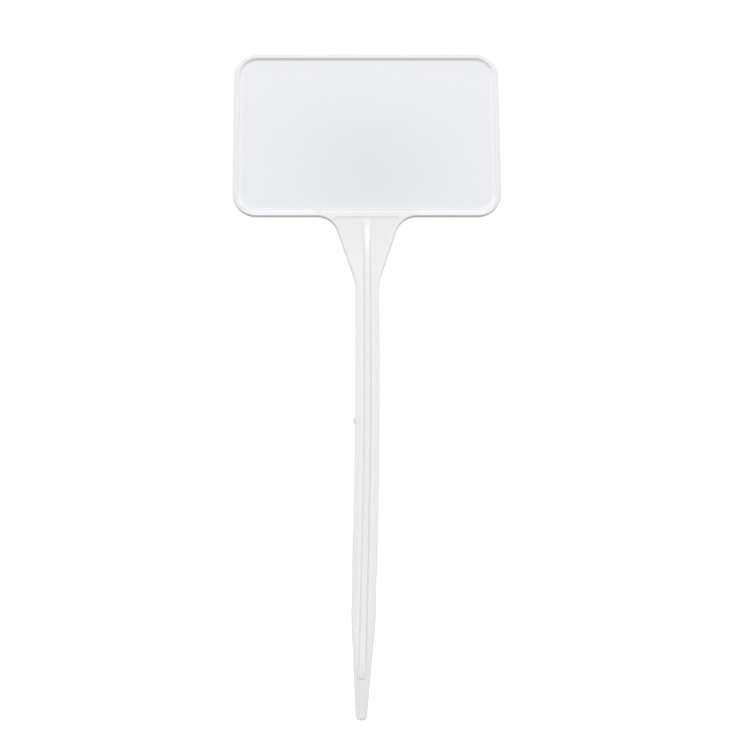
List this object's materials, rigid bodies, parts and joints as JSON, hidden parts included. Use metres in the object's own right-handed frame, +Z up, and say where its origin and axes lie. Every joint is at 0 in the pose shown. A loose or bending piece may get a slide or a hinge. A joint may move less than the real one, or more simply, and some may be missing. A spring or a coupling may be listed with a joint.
{
  "type": "plant label stake",
  "caption": "Flat plant label on a tapered stake, with a recessed writing panel in a raised rim, edge beads and a stiffening rib.",
  "frame": {"origin": "centre of the pointed end that goes into the soil, on the flat back of the label", "axes": "+Z up the label from the tip to the head, +Y out of the flat back, so that the written front faces -Y, +X to the right of someone who reads the label"},
  "size_m": [0.1, 0.0028, 0.244],
  "materials": {
    "moulded_plastic": "satin moulded polypropylene",
    "writing_surface": "finely matted moulded polypropylene that takes pencil and marker"
  },
  "bodies": {
    "root": {"label_panel": "writing_surface", "label_rim": "moulded_plastic", "neck_web": "moulded_plastic", "stem_web": "moulded_plastic", "left_edge_bead": "moulded_plastic", "right_edge_bead": "moulded_plastic", "centre_rib": "moulded_plastic", "stake_point": "moulded_plastic", "gate_mark": "moulded_plastic"}
  },
  "joints": []
}
